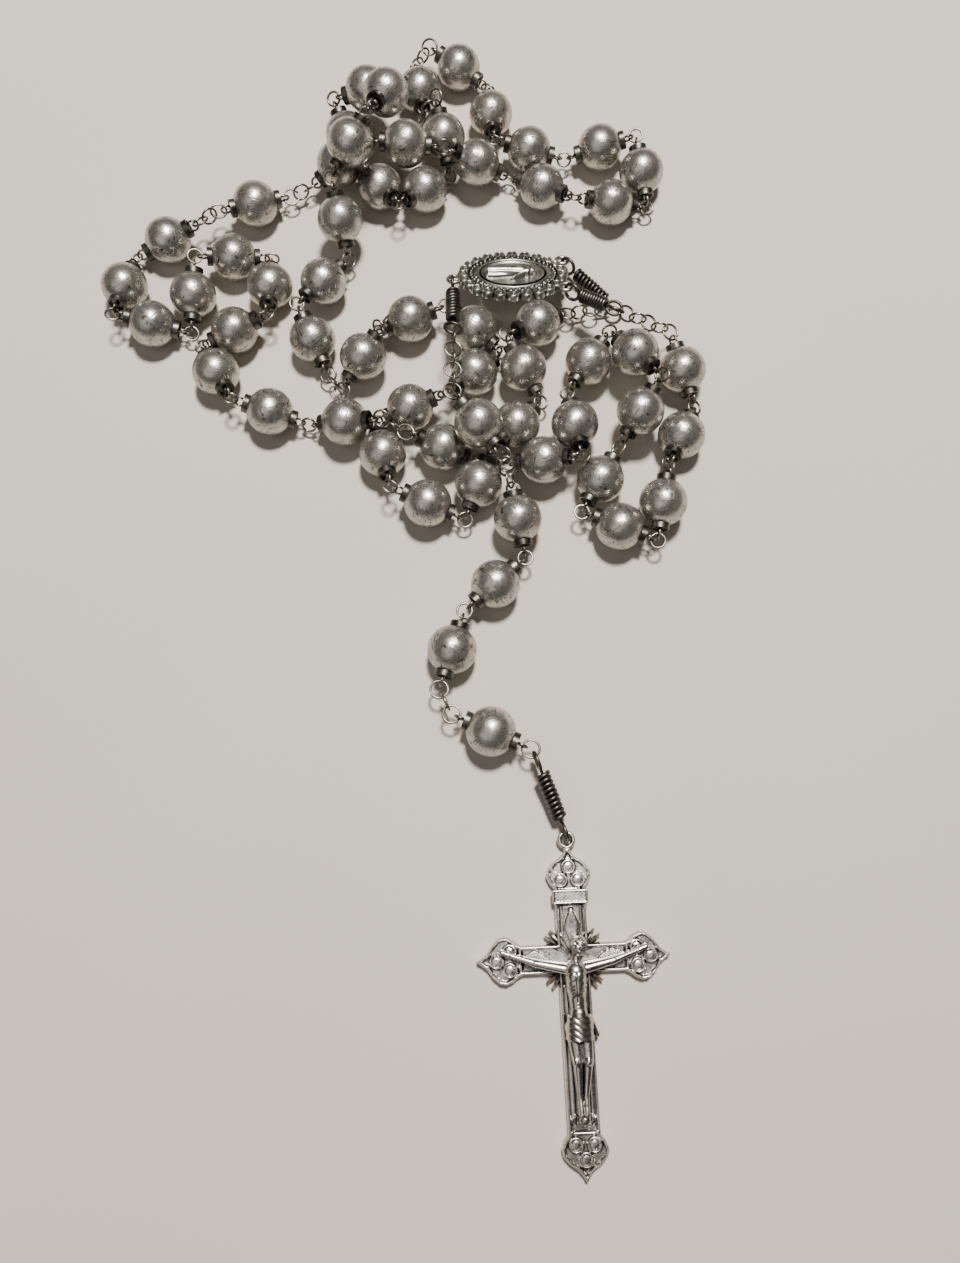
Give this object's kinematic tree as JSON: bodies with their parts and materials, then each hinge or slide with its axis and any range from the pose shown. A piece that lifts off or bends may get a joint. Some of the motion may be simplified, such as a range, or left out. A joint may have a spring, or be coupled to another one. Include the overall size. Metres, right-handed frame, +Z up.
{
  "type": "rosary",
  "caption": "Rosary lying in a loose heap: a loop of beads linked by wire eyes and rings, a centre medal, and a pendant that ends in a crucifix.",
  "frame": {"origin": "bottom centre of the bounding box: the table plane under the middle of the layout", "axes": "+Z up from the table, +Y from the crucifix towards the medal and the far side of the loop, +X to the right"},
  "size_m": [0.106, 0.196, 0.0179],
  "materials": {
    "pearl": "satin silver pearl",
    "dark_metal": "oxidised, nearly black",
    "silver_wire": "satin with dark tarnish",
    "medal_silver": "cast, antiqued",
    "crucifix_silver": "cast, polished with dark recesses"
  },
  "bodies": {
    "loop": {"decade_1_beads": "pearl", "decade_2_beads": "pearl", "decade_3_beads": "pearl", "decade_4_beads": "pearl", "decade_5_beads": "pearl", "decade_pins": "silver_wire", "decade_caps": "dark_metal", "decade_rings": "silver_wire", "our_father_pins": "silver_wire", "our_father_caps": "dark_metal", "our_father_chains": "silver_wire", "medal_chain_rings": "silver_wire", "medal_frame": "medal_silver", "medal_relief": "medal_silver", "medal_coil_cores": "dark_metal", "medal_coil_wraps": "dark_metal", "pendant_coil_core": "dark_metal", "pendant_coil_wrap": "dark_metal", "pendant_top_rings": "silver_wire", "upper_father_pin": "silver_wire", "upper_father_caps": "dark_metal", "hail_1_pin": "silver_wire", "hail_1_caps": "dark_metal"},
    "our_father_1": {"our_father_1_bead": "pearl"},
    "our_father_2": {"our_father_2_bead": "pearl"},
    "our_father_3": {"our_father_3_bead": "pearl"},
    "our_father_4": {"our_father_4_bead": "pearl"},
    "upper_father": {"upper_father_bead": "pearl"},
    "hail_1": {"hail_1_bead": "pearl"},
    "hail_2_link": {"hail_2_ring": "silver_wire", "hail_2_pin": "silver_wire", "hail_2_caps": "dark_metal"},
    "hail_2": {"hail_2_bead": "pearl"},
    "hail_3_link": {"hail_3_ring": "silver_wire", "hail_3_pin": "silver_wire", "hail_3_caps": "dark_metal"},
    "hail_3": {"hail_3_bead": "pearl"},
    "lower_father_link": {"lower_father_rings": "silver_wire", "lower_father_pin": "silver_wire", "lower_father_caps": "dark_metal"},
    "lower_father": {"lower_father_bead": "pearl"},
    "crucifix_coil": {"crucifix_coil_core": "dark_metal", "crucifix_coil_wrap": "dark_metal"},
    "crucifix": {"crucifix_cross": "crucifix_silver", "crucifix_titulus": "crucifix_silver", "crucifix_corpus": "crucifix_silver"}
  },
  "joints": [
    {"name": "our_father_1_spin", "type": "hinge", "parent": "loop", "child": "our_father_1", "pos_m": [-0.00625, 0.03224, 0.00475], "axis": [-0.5488, -0.7683, -0.3293], "continuous": true},
    {"name": "our_father_2_spin", "type": "hinge", "parent": "loop", "child": "our_father_2", "pos_m": [0.00275, 0.08749, 0.00425], "axis": [-0.1139, 0.9869, -0.1139], "continuous": true},
    {"name": "our_father_3_spin", "type": "hinge", "parent": "loop", "child": "our_father_3", "pos_m": [-0.02675, 0.06324, 0.004], "axis": [-0.9304, -0.3349, 0.1489], "continuous": true},
    {"name": "our_father_4_spin", "type": "hinge", "parent": "loop", "child": "our_father_4", "pos_m": [0.00775, 0.01574, 0.004], "axis": [0.9203, -0.2577, -0.2945], "continuous": true},
    {"name": "upper_father_spin", "type": "hinge", "parent": "loop", "child": "upper_father", "pos_m": [0.01375, 0.01724, 0.01], "axis": [0.6224, -0.7689, -0.1465], "continuous": true},
    {"name": "hail_1_spin", "type": "hinge", "parent": "loop", "child": "hail_1", "pos_m": [0.02025, 0.00249, 0.005], "axis": [0.1867, -0.971, -0.1494], "continuous": true},
    {"name": "hail_1_to_2", "type": "hinge", "parent": "loop", "child": "hail_2_link", "pos_m": [0.0215, -0.00401, 0.004], "axis": [0, 0, 1], "range_deg": [-12, 12]},
    {"name": "hail_2_spin", "type": "hinge", "parent": "hail_2_link", "child": "hail_2", "pos_m": [0.0165, -0.00851, 0.004], "axis": [-0.7433, -0.669, 0], "continuous": true},
    {"name": "hail_2_to_3", "type": "hinge", "parent": "hail_2_link", "child": "hail_3_link", "pos_m": [0.0115, -0.01301, 0.004], "axis": [0, 0, 1], "range_deg": [-12, 12]},
    {"name": "hail_3_spin", "type": "hinge", "parent": "hail_3_link", "child": "hail_3", "pos_m": [0.0095, -0.01951, 0.004], "axis": [-0.2941, -0.9558, 0], "continuous": true},
    {"name": "hail_3_to_lower_father", "type": "hinge", "parent": "hail_3_link", "child": "lower_father_link", "pos_m": [0.0075, -0.02601, 0.004], "axis": [0, 0, 1], "range_deg": [-12, 12]},
    {"name": "lower_father_spin", "type": "hinge", "parent": "lower_father_link", "child": "lower_father", "pos_m": [0.01575, -0.03276, 0.004], "axis": [0.9153, -0.4027, 0], "continuous": true},
    {"name": "lower_father_to_coil", "type": "hinge", "parent": "lower_father_link", "child": "crucifix_coil", "pos_m": [0.022, -0.03551, 0.004], "axis": [0, 0, 1], "range_deg": [-12, 12]},
    {"name": "coil_to_crucifix", "type": "hinge", "parent": "crucifix_coil", "child": "crucifix", "pos_m": [0.0275, -0.04941, 0.0013], "axis": [0, 0, 1], "range_deg": [-15, 15]}
  ]
}
